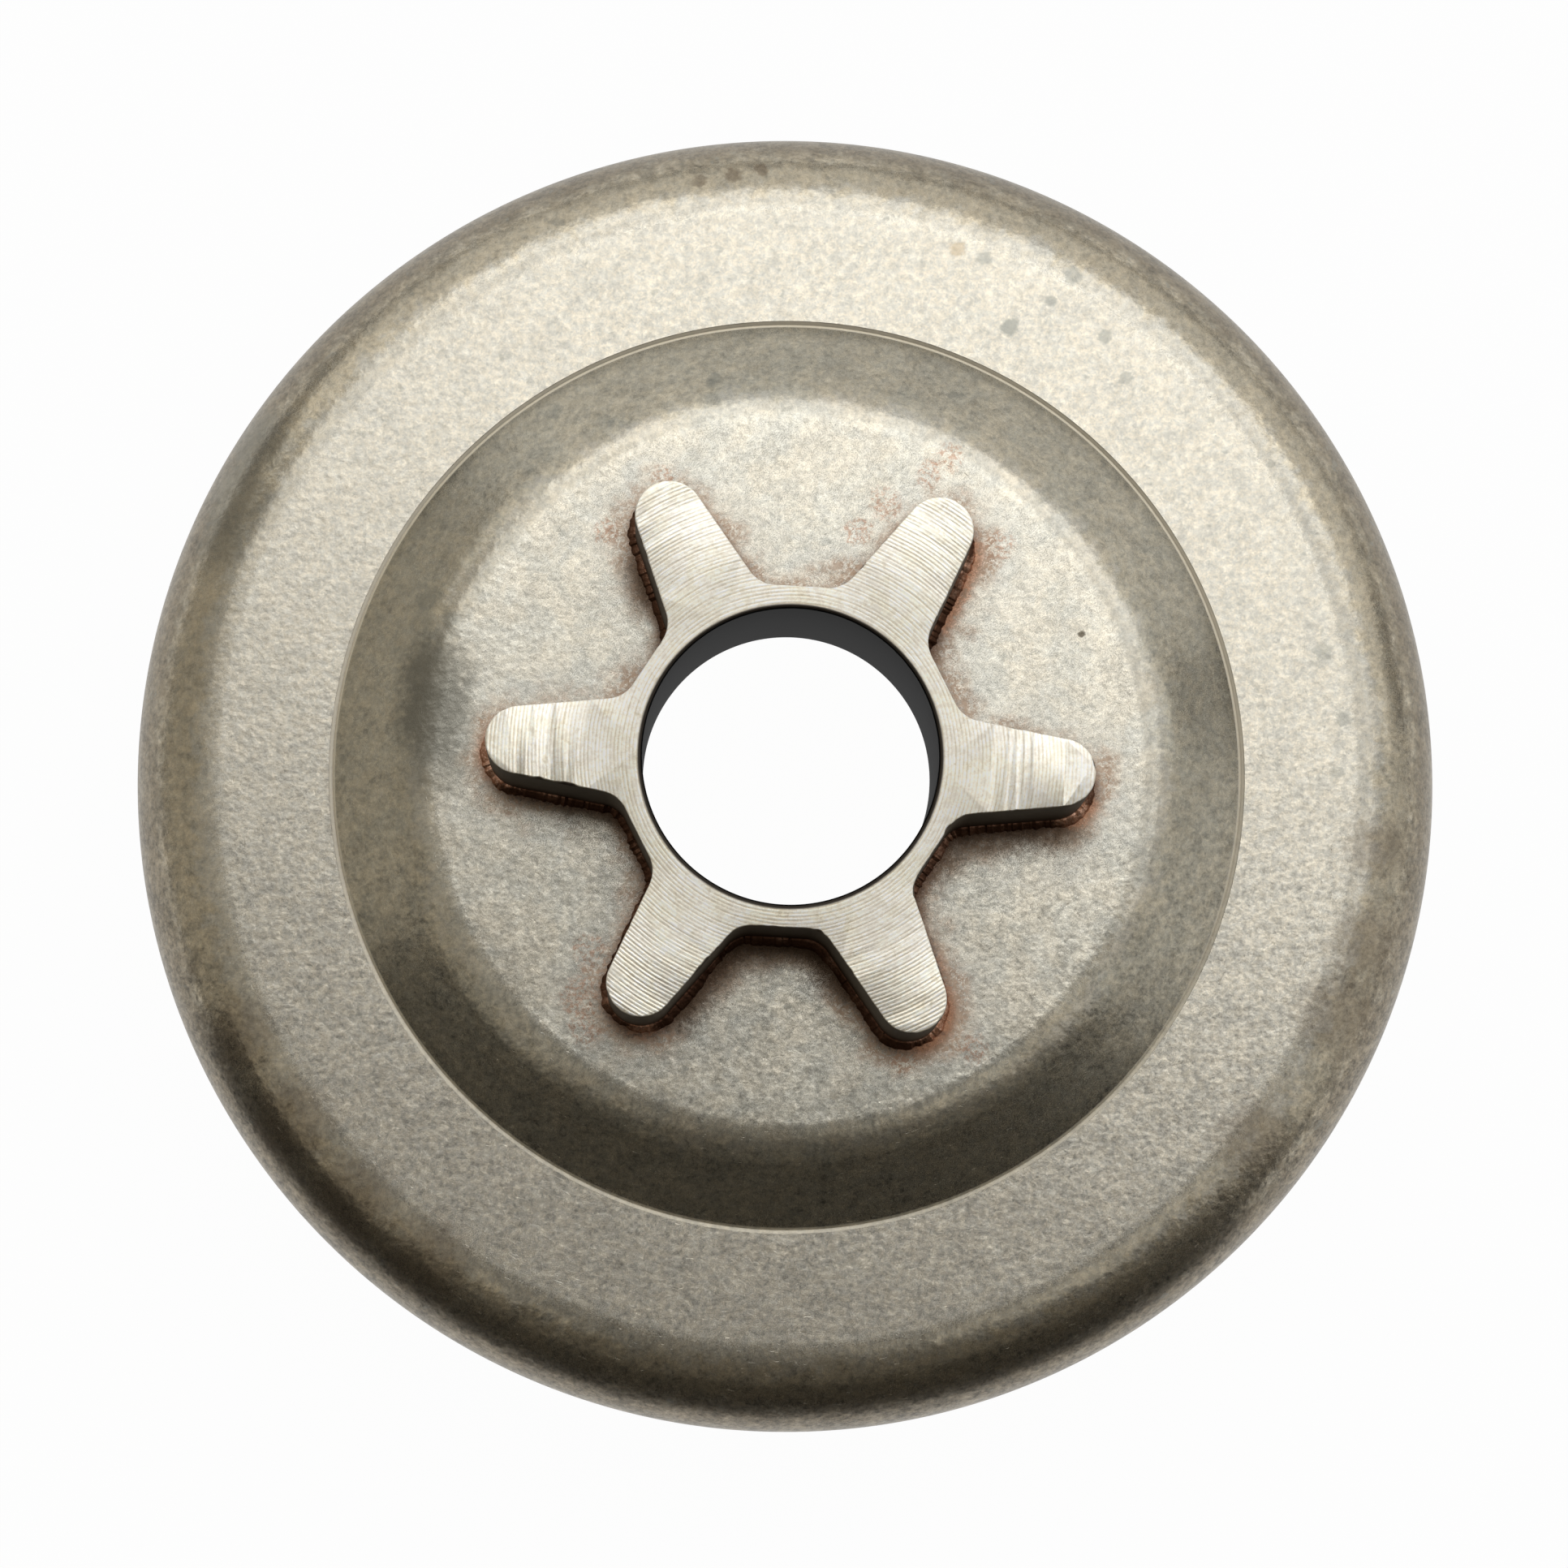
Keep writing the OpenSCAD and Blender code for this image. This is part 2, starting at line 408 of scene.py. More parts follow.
def step_out(out_share, up_share):
    """A rule that puts a ring at shares of the local width and height of the braze."""
    def place(point, number):
        reach = out_share * BRAZE_W * braze_share[number] - HIDDEN
        spot = braze_start[number] + reach * braze_out[number]
        return Vector((spot.x, spot.y, centre_z + up_share * BRAZE_H * braze_share[number]))
    return place


for number, vertex in enumerate(braze_line):
    vertex.co = step_out(0, 1)(vertex.co, number)
ring = braze_line
for out_share, up_share in ((0.25, 0.93), (0.5, 0.7), (0.75, 0.42), (0.92, 0.18), (1, 0), (0, 0), (0, 1)):
    ring = next_ring(braze_mesh, ring, step_out(out_share, up_share))
braze = make_piece("braze_bead", braze_mesh, "braze_fillet")

# %% [markdown]
# ## Tools for the finishes
#
# A finish is built from nodes, and the same four moves come back in all of them: place a node and
# join it, do sums, blend two colours, and turn a slow value into a mask with soft edges. With a
# short helper for each, the recipes below read as recipes. What several finishes share, such as the
# place on the part or the grain, is a node group with named outputs, built once.

# %% Helpers that place nodes
def node(tree, kind, joined=None, **settings):
    """Adds a shader node, sets it up, and joins or fills in its inputs."""
    made = tree.nodes.new("ShaderNode" + kind)
    for name, value in settings.items():
        setattr(made, name, value)
    for name, value in (joined or {}).items():
        socket = made.inputs[name]
        if isinstance(value, bpy.types.NodeSocket):
            tree.links.new(value, socket)
        else:
            socket.default_value = value
    return made


def calc(tree, operation, *values):
    """One sum on plain values."""
    return node(tree, "Math", dict(enumerate(values)), operation=operation).outputs[0]


def soft_step(tree, value, start, end, low=0.0, high=1.0):
    """Goes smoothly from low to high while the value goes from start to end."""
    joined = {"Value": value, "From Min": start, "From Max": end, "To Min": low, "To Max": high}
    return node(tree, "MapRange", joined, interpolation_type="SMOOTHSTEP").outputs[0]


def blend(tree, share, first, second, how="MIX"):
    """Blends two colours."""
    joined = {0: share, 6: first, 7: second}
    return node(tree, "Mix", joined, data_type="RGBA", blend_type=how).outputs[2]


def cloud(tree, where, scale, detail=2.0, rough=0.5, distortion=0.0):
    """A noise about 0.5 at the given place."""
    joined = {
        "Vector": where, "Scale": scale, "Detail": detail, "Roughness": rough, "Distortion": distortion
    }
    return node(tree, "TexNoise", joined).outputs["Fac"]


def new_group(name, inputs, outputs):
    """Starts a node group and returns it with the nodes that carry its inputs and outputs."""
    group = bpy.data.node_groups.new(name, "ShaderNodeTree")
    for label, (kind, value) in inputs.items():
        group.interface.new_socket(label, in_out="INPUT", socket_type="NodeSocket" + kind).default_value = value
    for label, kind in outputs.items():
        group.interface.new_socket(label, in_out="OUTPUT", socket_type="NodeSocket" + kind)
    return group, group.nodes.new("NodeGroupInput").outputs, group.nodes.new("NodeGroupOutput").inputs


def use(tree, group, **joined):
    """Puts a node group into a material, or into another group, and returns its outputs."""
    placed = tree.nodes.new("ShaderNodeGroup")
    placed.node_tree = group
    for label, value in joined.items():
        socket = placed.inputs[label.replace("_", " ")]
        if isinstance(value, bpy.types.NodeSocket):
            tree.links.new(value, socket)
        else:
            socket.default_value = value
    return placed.outputs


# %% Group: the place on the part, in millimetres about the axis
places, _, given = new_group(
    "place_on_part", {}, {"Place": "Vector", "Radius": "Float", "Turn": "Float", "Height": "Float"}
)
spot = node(places, "TexCoord").outputs["Object"]
spot = node(places, "VectorMath", {0: spot, "Scale": 1 / MM}, operation="SCALE").outputs[0]
split = node(places, "SeparateXYZ", {0: spot}).outputs
level_spot = node(places, "CombineXYZ", {0: split[0], 1: split[1]}).outputs[0]
radius = node(places, "VectorMath", {0: level_spot}, operation="LENGTH").outputs["Value"]
turn = calc(places, "ARCTAN2", split[1], split[0])
for label, value in (("Place", spot), ("Radius", radius), ("Turn", turn), ("Height", split[2])):
    places.links.new(value, given[label])

# %% [markdown]
# The heat of brazing and the flux have stained the steel in bands that follow the teeth, and the
# painted shade at the foot of the teeth follows them too. To paint them, a material has to know how
# far a point is from the nearest tooth. The angle about the axis is folded until all six teeth lie on
# one, and there a flank, a tip and a root are three simple distances. The same sizes that drew the
# teeth feed the sum. The point can be shifted first, and then the bands come out wider on one side
# of every tooth, as they do where the flux ran down.

# %% Group: the distance to the teeth
teeth_distance, asked, given = new_group(
    "distance_to_teeth", {"Shift": ("Vector", (0, 0, 0))}, {"Distance": "Float"}
)
here = use(teeth_distance, places)
moved = node(teeth_distance, "VectorMath", {0: here["Place"], 1: asked["Shift"]}, operation="ADD").outputs[0]
split = node(teeth_distance, "SeparateXYZ", {0: moved}).outputs
moved = node(teeth_distance, "CombineXYZ", {0: split[0], 1: split[1]}).outputs[0]
moved_radius = node(teeth_distance, "VectorMath", {0: moved}, operation="LENGTH").outputs["Value"]
moved_turn = calc(teeth_distance, "SUBTRACT", calc(teeth_distance, "ARCTAN2", split[1], split[0]), sprocket_turn)
folded = calc(teeth_distance, "PINGPONG", moved_turn, half_turn)
along = calc(teeth_distance, "MULTIPLY", moved_radius, calc(teeth_distance, "COSINE", folded))
aside = calc(teeth_distance, "MULTIPLY", moved_radius, calc(teeth_distance, "SINE", folded))
nearest = calc(teeth_distance, "MULTIPLY_ADD", aside, -tan(flank_lean), along)
nearest = calc(teeth_distance, "MINIMUM", calc(teeth_distance, "MAXIMUM", nearest, 0.0), tip_at)
gone = calc(teeth_distance, "SUBTRACT", along, nearest)
offset = node(teeth_distance, "CombineXYZ", {0: gone, 1: aside}).outputs[0]
from_middle = node(teeth_distance, "VectorMath", {0: offset}, operation="LENGTH").outputs["Value"]
tooth_half = calc(teeth_distance, "MULTIPLY_ADD", nearest, -sin(flank_lean), flank_at)
from_tooth = calc(teeth_distance, "SUBTRACT", from_middle, tooth_half)
from_root = calc(teeth_distance, "MULTIPLY_ADD", along, cos(half_turn), -root_at)
from_root = calc(teeth_distance, "MULTIPLY_ADD", aside, sin(half_turn), from_root)
teeth_distance.links.new(
    calc(teeth_distance, "SMOOTH_MIN", from_tooth, from_root, 1.2), given["Distance"]
)

# %% [markdown]
# Tumbling with stones and a thin film of oil leave the sheet mottled: patches of less than a
# millimetre, cream beside blue-grey, with ever finer grain inside them. One fractal noise gives the
# light and dark, a second one the tint, and a third, smoother one the height. The height halves as
# its patches halve, so that a small dent is as steep as a large one.

# %% Group: tumbled grain
grain, asked, given = new_group(
    "tumbled_grain", {"Scale": ("Float", 1.3)}, {"Light": "Float", "Tint": "Float", "Height": "Float"}
)
here = use(grain, places)
patches = cloud(grain, here["Place"], calc(grain, "MULTIPLY", asked["Scale"], 0.6), 5.0, 0.9, 0.2)
specks = cloud(grain, here["Place"], calc(grain, "MULTIPLY", asked["Scale"], 2.6), 3.0, 0.85, 0.3)
second = cloud(grain, here["Place"], calc(grain, "MULTIPLY", asked["Scale"], 1.6), 3.0, 0.8, 0.3)
relief = cloud(grain, here["Place"], calc(grain, "MULTIPLY", asked["Scale"], 2.4), 2.0, 0.5)
light = calc(grain, "MULTIPLY_ADD", patches, 7.0, -3.5)
light = calc(grain, "MULTIPLY_ADD", calc(grain, "SUBTRACT", specks, 0.5), 9.0, light)
tint = calc(grain, "MULTIPLY_ADD", second, 4.0, -2.0)
tint = calc(grain, "MULTIPLY_ADD", light, 0.25, tint)
for label, value in (("Light", light), ("Tint", tint), ("Height", relief)):
    grain.links.new(value, given[label])

# %% Group: nicks along the turn, also the spots of painted glints
nicks_and_glints, asked, given = new_group(
    "nicks_and_glints", {"Limit": ("Float", 0.7), "Shift": ("Float", 0.0)}, {"Mask": "Float"}
)
here = use(nicks_and_glints, places)
across = calc(nicks_and_glints, "SUBTRACT", here["Radius"], here["Height"])
flattened = node(nicks_and_glints, "VectorMath", {0: here["Place"], 1: (1.5, 1.5, 0.1)}, operation="MULTIPLY").outputs[0]
lift = node(nicks_and_glints, "CombineXYZ", {0: asked["Shift"], 2: calc(nicks_and_glints, "MULTIPLY", across, 5.0)}).outputs[0]
stretched = node(nicks_and_glints, "VectorMath", {0: flattened, 1: lift}, operation="ADD").outputs[0]
spread = cloud(nicks_and_glints, stretched, 1.0, 2.0, 0.55, 0.5)
upper = calc(nicks_and_glints, "ADD", asked["Limit"], 0.05)
nicks_and_glints.links.new(soft_step(nicks_and_glints, spread, asked["Limit"], upper), given["Mask"])

# %% Group: a single stain
stain, asked, given = new_group(
    "stain", {"Centre": ("Vector", (0, 0, 0)), "Size": ("Float", 1.0), "Soft": ("Float", 0.5)}, {"Mask": "Float"}
)
here = use(stain, places)
away = node(stain, "VectorMath", {0: here["Place"], 1: asked["Centre"]}, operation="DISTANCE").outputs["Value"]
away = calc(stain, "DIVIDE", away, asked["Size"])
ragged = cloud(stain, here["Place"], 2.2, 3.0, 0.65)
away = calc(stain, "ADD", away, calc(stain, "MULTIPLY_ADD", ragged, 1.4, -0.7))
far = calc(stain, "ADD", asked["Soft"], 0.55)
stain.links.new(soft_step(stain, away, 0.55, far, 1.0, 0.0), given["Mask"])

# %% [markdown]
# The tool that faced the sprocket left a spiral of fine grooves, here as rings, since at a fifth of
# a millimetre the two can't be told apart. A sine of the radius gives them. A little noise shifts
# the radius so the rings waver, and another changes how deep each stretch is cut.

# %% Group: turning lines
turning, asked, given = new_group(
    "turning_lines", {"Pitch": ("Float", 0.19)}, {"Groove": "Float", "Height": "Float"}
)
here = use(turning, places)
waver = cloud(turning, here["Place"], 0.35, 2.0, 0.5)
shifted = calc(turning, "MULTIPLY_ADD", waver, 0.12, here["Radius"])
phase = calc(turning, "MULTIPLY", calc(turning, "DIVIDE", shifted, asked["Pitch"]), 2 * pi)
wave = calc(turning, "MULTIPLY_ADD", calc(turning, "SINE", phase), 0.5, 0.5)
band = calc(turning, "MULTIPLY", shifted, 5.3)
band_spot = node(turning, "CombineXYZ", {2: band}).outputs[0]
flattened = node(turning, "VectorMath", {0: here["Place"], 1: (0.4, 0.4, 0)}, operation="MULTIPLY").outputs[0]
band_spot = node(turning, "VectorMath", {0: flattened, 1: band_spot}, operation="ADD").outputs[0]
depth = soft_step(turning, cloud(turning, band_spot, 1.0, 2.0, 0.6), 0.3, 0.65, 0.25, 1.0)
turning.links.new(calc(turning, "MULTIPLY", soft_step(turning, wave, 0.45, 0.95), depth), given["Groove"])
turning.links.new(calc(turning, "MULTIPLY", wave, depth), given["Height"])


def new_finish(name, metallic):
    """Starts a material and returns its tree and its shader."""
    material = bpy.data.materials.new(name)
    material.use_nodes = True
    shader = material.node_tree.nodes["Principled BSDF"]
    shader.inputs["Metallic"].default_value = metallic
    return material, material.node_tree, shader


def set_bump(tree, shader, height, depth_mm):
    """Lets a height between 0 and 1 dent the surface by up to the given depth."""
    bump = node(tree, "Bump", {"Strength": 1.0, "Distance": depth_mm * MM, "Height": height})
    tree.links.new(bump.outputs["Normal"], shader.inputs["Normal"])


# %% [markdown]
# ## Steel of the cup
#
# The flat faces are the cleanest. Where the press has stretched the sheet, over the rim's round, it
# keeps a brown film of burned drawing oil. Down the wall the colour is painted dark: the brown film
# with painted shade, in place of a dim floor mirrored in the wall. The cone has the thin film too.

# %% Base colours of the cup by zone
cup_finish, tree, shader = new_finish("drum_steel", 1.0)
here = use(tree, places)
spread = use(tree, grain, Scale=1.0)
film = cloud(tree, here["Place"], 0.22, 4.0, 0.6, 0.6)

FLAT_STEEL = (0.672, 0.636, 0.553, 1)
CONE_STEEL = (0.635, 0.595, 0.495, 1)
BENT_STEEL = (0.66, 0.595, 0.47, 1)
WALL_FILM_AND_SHADE = (0.275, 0.24, 0.187, 1)
uneven = calc(tree, "MULTIPLY_ADD", film, 1.2, -0.6)
ragged_radius = calc(tree, "MULTIPLY_ADD", uneven, 0.7, here["Radius"])
border = cloud(tree, here["Place"], 0.8, 4.0, 0.7, 0.4)
torn_radius = calc(tree, "MULTIPLY_ADD", calc(tree, "SUBTRACT", border, 0.5), 3.4, ragged_radius)
on_cone = calc(
    tree, "MULTIPLY",
    soft_step(tree, torn_radius, 19.2, 20.0), soft_step(tree, here["Radius"], 23.3, 23.6, 1.0, 0.0)
)
on_bend = soft_step(tree, torn_radius, 30.3, 31.3)
worn_radius = calc(tree, "MULTIPLY_ADD", calc(tree, "SUBTRACT", border, 0.5), 1.6, ragged_radius)
# Down the wall: brown film with painted shade, in place of a dim floor mirrored in it.
on_wall = soft_step(tree, worn_radius, 31.7, 33.2)
colour = blend(tree, on_cone, FLAT_STEEL, CONE_STEEL)
colour = blend(tree, on_bend, colour, BENT_STEEL)
colour = blend(tree, on_wall, colour, WALL_FILM_AND_SHADE)

# %% Mottling of the cup
haze = cloud(tree, here["Place"], 0.38, 3.0, 0.6, 0.8)
hazed = blend(tree, soft_step(tree, haze, 0.38, 0.6), (0.955, 0.965, 0.97, 1), (1.02, 1.0, 0.97, 1))
raised = soft_step(tree, here["Radius"], 19.0, 24.0, 1.0, 0.25)
colour = blend(tree, raised, colour, blend(tree, 1.0, colour, hazed, "MULTIPLY"))
colour = blend(tree, soft_step(tree, here["Radius"], 18.4, 19.6, 1.0, 0.0), colour,
               blend(tree, 1.0, colour, (1.05, 1.06, 1.065, 1), "MULTIPLY"))
warm = soft_step(tree, spread["Tint"], -0.6, 0.6)
tinted = blend(tree, warm, (0.982, 1.0, 1.012, 1), (1.015, 1.0, 0.962, 1))
tint_share = soft_step(tree, here["Radius"], 17.6, 20.0, 0.55, 1.0)
colour = blend(tree, tint_share, colour, blend(tree, 1.0, colour, tinted, "MULTIPLY"))
bent = calc(tree, "MAXIMUM", on_cone, on_bend)
low_side = soft_step(tree, node(tree, "SeparateXYZ", {0: here["Place"]}).outputs[1], 10.0, -18.0, 0.25, 1.0)
contrast = calc(tree, "MULTIPLY_ADD", low_side, 0.13, 0.065)
contrast = calc(tree, "MULTIPLY_ADD", bent, 0.05, contrast)
dim = calc(tree, "MULTIPLY_ADD", spread["Light"], contrast, 1.0)
dim_colour = node(tree, "CombineColor", {0: dim, 1: dim, 2: dim}).outputs[0]
colour = blend(tree, 1.0, colour, dim_colour, "MULTIPLY")
nick = calc(tree, "MULTIPLY", use(tree, nicks_and_glints, Limit=0.69)["Mask"], low_side)
colour = blend(tree, calc(tree, "MULTIPLY", nick, 0.25), colour, (0.25, 0.22, 0.17, 1))
# Painted glints: small cream highlights at the front, off the bends.
painted_glints = calc(tree, "MULTIPLY", use(tree, nicks_and_glints, Limit=0.67, Shift=31.0)["Mask"], low_side)
painted_glints = calc(tree, "MULTIPLY", painted_glints, calc(tree, "SUBTRACT", 1.0, bent))
colour = blend(tree, calc(tree, "MULTIPLY", painted_glints, 0.5), colour, (0.97, 0.93, 0.82, 1))
spots = cloud(tree, here["Place"], 1.25, 2.0, 0.55, 0.2)
spots = soft_step(tree, spots, 0.66, 0.74, 0.0, 0.4)
colour = blend(tree, spots, colour, (0.32, 0.325, 0.29, 1))

# %% A painted highlight along the groove round the foot of the cone, weaker at the front and split by a painted line of shade
GROOVE_HIGHLIGHT = (1.0, 0.95, 0.83, 1)


def ring_mask(inner, outer, soft=0.03):
    """A mask of the ring between two radii."""
    inside = soft_step(tree, here["Radius"], inner - soft, inner + soft)
    return calc(tree, "MULTIPLY", inside, soft_step(tree, here["Radius"], outer - soft, outer + soft, 1.0, 0.0))


in_groove = ring_mask(23.47, 23.78)
# Painted highlight in the groove, half as strong at the front.
groove_highlight = calc(tree, "MULTIPLY", in_groove, calc(tree, "MULTIPLY_ADD", low_side, -0.5, 1.0))
colour = blend(tree, groove_highlight, colour, GROOVE_HIGHLIGHT)
# Painted shade: a thin dark line inside the groove.
colour = blend(tree, calc(tree, "MULTIPLY", ring_mask(23.56, 23.65), 0.25), colour, (0.20, 0.17, 0.13, 1))

# %% Heat and flux stains round the teeth, and painted shade at their feet
RUN_DOWN = (-0.12, 0.1, 0.0)
from_teeth = use(tree, teeth_distance, Shift=RUN_DOWN)["Distance"]
outside = soft_step(tree, here["Height"], 22.0, 22.6)
fibres = cloud(tree, here["Place"], 4.2, 4.0, 0.8, 0.4)
reach = cloud(tree, here["Place"], 0.5, 3.0, 0.6)
away = calc(tree, "MULTIPLY_ADD", calc(tree, "SUBTRACT", reach, 0.5), -4.5, from_teeth)
frayed = calc(tree, "MULTIPLY_ADD", calc(tree, "SUBTRACT", fibres, 0.5), 1.6, away)
blue = calc(tree, "MULTIPLY", soft_step(tree, away, 1.8, 3.8, 1.0, 0.0), outside)
pink = calc(tree, "MULTIPLY", soft_step(tree, frayed, 0.4, 2.1, 1.0, 0.0), outside)
streaks = soft_step(tree, fibres, 0.42, 0.56)
pink = calc(tree, "MULTIPLY", pink, calc(tree, "MULTIPLY_ADD", streaks, 0.8, 0.2))
# Brown stain hugging the teeth, with painted shade: dark where the flanks would darken the flat at their foot.
near = calc(tree, "MULTIPLY_ADD", calc(tree, "SUBTRACT", fibres, 0.5), 1.2, from_teeth)
brown_stain_and_shade = calc(tree, "MULTIPLY", soft_step(tree, near, 0.15, 0.95, 1.0, 0.0), outside)
colour = blend(tree, calc(tree, "MULTIPLY", blue, 0.25), colour, (0.59, 0.595, 0.56, 1))
colour = blend(tree, calc(tree, "MULTIPLY", pink, 0.8), colour, (0.50, 0.325, 0.215, 1))
colour = blend(tree, calc(tree, "MULTIPLY", brown_stain_and_shade, 0.85), colour, (0.15, 0.075, 0.045, 1))
# Painted shadow: dark brown patches on the flat under the teeth, mostly at the front, where the teeth shade it.
PAINTED_FOOT_SHADOW = (0.13, 0.085, 0.055, 1)
FOOT_SHADOW_PLACES = [
    ((-2.6, -10.4, 22.9), 1.7), ((0.2, -10.2, 22.9), 1.9), ((2.8, -10.3, 22.9), 1.7), ((12.2, -4.6, 22.9), 1.6),
    ((9.6, -5.0, 22.9), 1.5), ((14.6, -4.0, 22.9), 1.2), ((-11.4, -4.2, 22.9), 1.5), ((6.2, -12.6, 22.9), 1.6),
    ((-4.6, -12.8, 22.9), 1.3), ((-10.6, 7.4, 22.9), 1.4), ((-8.0, 9.6, 22.9), 1.2),
]
lace = calc(tree, "MULTIPLY_ADD", calc(tree, "SUBTRACT", fibres, 0.5), 3.0, from_teeth)
foot_shadow = soft_step(tree, lace, 0.3, 2.1, 1.0, 0.0)
for centre, size in FOOT_SHADOW_PLACES:
    mask = calc(tree, "MULTIPLY", use(tree, stain, Centre=centre, Size=size, Soft=1.1)["Mask"], foot_shadow)
    colour = blend(tree, calc(tree, "MULTIPLY", mask, 0.9), colour, PAINTED_FOOT_SHADOW)
FLUX_PINK = (0.48, 0.30, 0.21, 1)
COPPER_FILM = (0.60, 0.31, 0.185, 1)
COPPER_PLACES = [
    ((-15.9, 1.4, 22.9), 2.0), ((9.3, -9.6, 22.9), 1.8), ((9.3, -12.6, 22.9), 1.9), ((7.6, -14.4, 22.9), 1.4),
    ((10.2, 10.2, 22.9), 1.9), ((9.0, 8.0, 22.9), 1.5), ((15.4, -2.4, 22.9), 1.2), ((-7.6, -14.6, 22.9), 1.3),
]
wetted = soft_step(tree, lace, 0.35, 0.95, 1.0, 0.0)
wetted = calc(tree, "MULTIPLY", wetted, calc(tree, "MULTIPLY_ADD", streaks, 0.5, 0.5))
for centre, size in COPPER_PLACES:
    mask = calc(tree, "MULTIPLY", use(tree, stain, Centre=centre, Size=size)["Mask"], wetted)
    colour = blend(tree, calc(tree, "MULTIPLY", mask, 0.9), colour, COPPER_FILM)
FLUX_PLACES = [
    ((8.4, 16.3, 22.9), 0.9), ((7.3, 15.4, 22.9), 0.8), ((5.0, 13.9, 22.9), 1.0), ((3.6, 12.4, 22.9), 0.9),
    ((9.6, -14.4, 22.9), 0.9), ((6.0, -14.9, 22.9), 0.9), ((-6.4, 15.2, 22.9), 0.8), ((-9.4, 12.4, 22.9), 0.8),
    ((-10.6, -11.6, 22.9), 1.3), ((-10.2, -9.4, 22.9), 1.1), ((-10.4, -13.4, 22.9), 1.0), ((10.9, 11.6, 22.9), 1.0),
]
veins = soft_step(tree, fibres, 0.46, 0.58)
for centre, size in FLUX_PLACES:
    mask = calc(tree, "MULTIPLY", use(tree, stain, Centre=centre, Size=size)["Mask"], veins)
    colour = blend(tree, calc(tree, "MULTIPLY", mask, 0.75), colour, FLUX_PINK)

# %% Single stains and dull patches of the cup
GREY_GREEN = (0.30, 0.31, 0.28, 1)
OCHRE = (0.52, 0.40, 0.24, 1)
DULL_GREY = (0.275, 0.265, 0.225, 1)
BROWN_FILM = (0.24, 0.18, 0.12, 1)
STAINS = [
    ((11.6, 23.5, 20.0), 0.55, GREY_GREEN, 0.75),
    ((10.3, 27.1, 20.0), 0.45, GREY_GREEN, 0.5),
    ((14.9, 26.2, 19.9), 0.6, GREY_GREEN, 0.5),
    ((13.8, 24.9, 20.0), 0.35, GREY_GREEN, 0.55),
    ((16.6, 23.0, 20.0), 0.45, GREY_GREEN, 0.6),
    ((17.7, 20.8, 20.0), 0.4, GREY_GREEN, 0.5),
    ((8.9, 27.6, 20.0), 0.5, OCHRE, 0.5),
    ((-3.8, 20.5, 22.0), 0.6, GREY_GREEN, 0.5),
    ((-12.2, 18.9, 20.8), 0.6, GREY_GREEN, 0.4),
    ((-18.7, 9.0, 22.0), 0.8, GREY_GREEN, 0.45),
    ((-17.4, 7.8, 22.5), 0.6, GREY_GREEN, 0.45),
    ((27.9, 6.5, 20.0), 0.6, GREY_GREEN, 0.45),
    ((28.9, 3.0, 20.0), 0.5, GREY_GREEN, 0.45),
    ((28.6, 0.2, 20.0), 0.45, GREY_GREEN, 0.45),
    ((15.2, 7.1, 22.9), 0.22, (0.12, 0.1, 0.07, 1), 0.9),
    ((-2.8, 31.6, 19.4), 0.6, BROWN_FILM, 0.6),
    ((-1.4, 31.9, 19.2), 0.5, BROWN_FILM, 0.6),
    ((-4.6, 31.3, 19.5), 0.5, BROWN_FILM, 0.5),
]
for centre, size, stain_colour, strength in STAINS:
    mask = use(tree, stain, Centre=centre, Size=size)["Mask"]
    colour = blend(tree, calc(tree, "MULTIPLY", mask, strength), colour, stain_colour)
# Dull grey patches: three on the rim's round at the back left, three on the flat past the left tooth's tip.
DULL_PLACES = [
    ((-27.6, 17.6, 18.6), 1.6, 0.6),
    ((-28.6, 14.6, 18.9), 1.8, 0.6),
    ((-29.3, 12.2, 19.0), 1.3, 0.5),
    ((-18.2, 5.0, 22.8), 1.7, 0.9),
    ((-18.3, 2.6, 22.8), 1.7, 0.9),
    ((-18.0, 0.2, 22.9), 1.3, 0.6),
]
for centre, size, strength in DULL_PLACES:
    mask = use(tree, stain, Centre=centre, Size=size, Soft=1.1)["Mask"]
    colour = blend(tree, calc(tree, "MULTIPLY", mask, strength), colour, DULL_GREY)
BROWNED_PLACES = [
    ((28.6, -12.4, 19.6), 1.8), ((30.0, -8.6, 19.2), 1.6), ((24.2, -18.8, 19.6), 1.7), ((30.6, -3.6, 19.2), 1.4),
    ((-25.6, -18.0, 19.3), 1.9), ((-22.4, -22.0, 19.2), 2.0), ((-18.6, -25.0, 19.3), 1.9), ((-28.2, -13.4, 19.3), 1.5),
]
for centre, size in BROWNED_PLACES:
    mask = use(tree, stain, Centre=centre, Size=size, Soft=1.1)["Mask"]
    colour = blend(tree, calc(tree, "MULTIPLY", mask, 0.4), colour, BROWN_FILM)
print("stains:", len(STAINS) + len(DULL_PLACES) + len(BROWNED_PLACES))

# %% [markdown]
# Tumbled steel isn't evenly rough. Under a lens it is small polished flats among pits, and each has
# a mirror image of its own: the flats a fairly sharp one, the pits a wide haze. A very fine noise
# switches between the two, finer than the eye can part, so both images lie over each other. The
# groove at the foot of the cone is scraped, and so it shines from every side.

